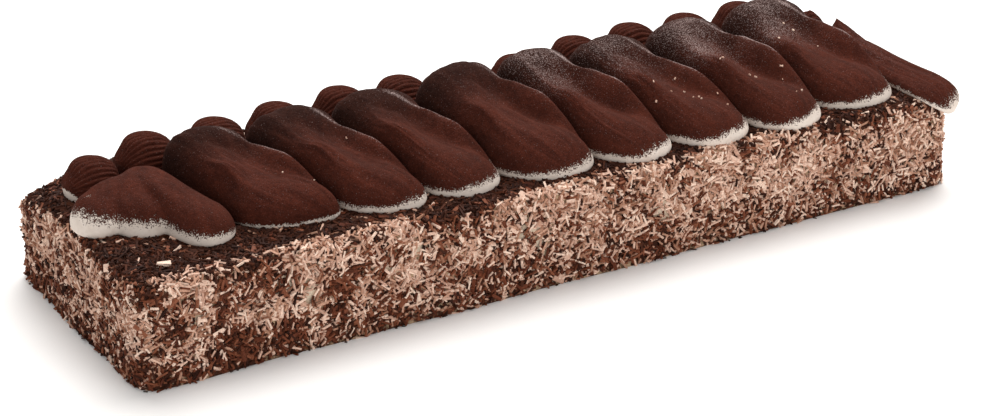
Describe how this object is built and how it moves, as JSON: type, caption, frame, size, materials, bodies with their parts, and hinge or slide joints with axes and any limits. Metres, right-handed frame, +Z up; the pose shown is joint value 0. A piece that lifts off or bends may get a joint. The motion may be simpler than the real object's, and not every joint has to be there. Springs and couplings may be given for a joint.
{
  "type": "tiramisu bar cake",
  "caption": "Long rectangular tiramisu cake coated in chocolate vermicelli, with cocoa-dusted cream petals laid across the top and a row of piped rosettes along the back.",
  "frame": {"origin": "centre of the flat underside of the cake body", "axes": "+X runs along the cake to its lower right end, +Y from the front long side to the rosettes at the back, +Z up"},
  "size_m": [0.3661, 0.1215, 0.0684],
  "materials": {
    "coated_crumb": "soft cream and sponge cake coated all over with brown and pale chocolate vermicelli",
    "dusted_cream": "whipped cream dusted with cocoa powder, pale and undusted along its lower edge"
  },
  "bodies": {
    "root": {"cake_body": "coated_crumb", "cream_petal_01": "dusted_cream", "cream_petal_02": "dusted_cream", "cream_petal_03": "dusted_cream", "cream_petal_04": "dusted_cream", "cream_petal_05": "dusted_cream", "cream_petal_06": "dusted_cream", "cream_petal_07": "dusted_cream", "cream_petal_08": "dusted_cream", "cream_petal_09": "dusted_cream", "cream_petal_10": "dusted_cream", "rosette_01": "dusted_cream", "rosette_02": "dusted_cream", "rosette_03": "dusted_cream", "rosette_04": "dusted_cream", "rosette_05": "dusted_cream", "rosette_06": "dusted_cream", "rosette_07": "dusted_cream", "rosette_08": "dusted_cream", "rosette_09": "dusted_cream", "rosette_10": "dusted_cream", "rosette_11": "dusted_cream", "rosette_12": "dusted_cream", "rosette_tail": "dusted_cream"}
  },
  "joints": []
}
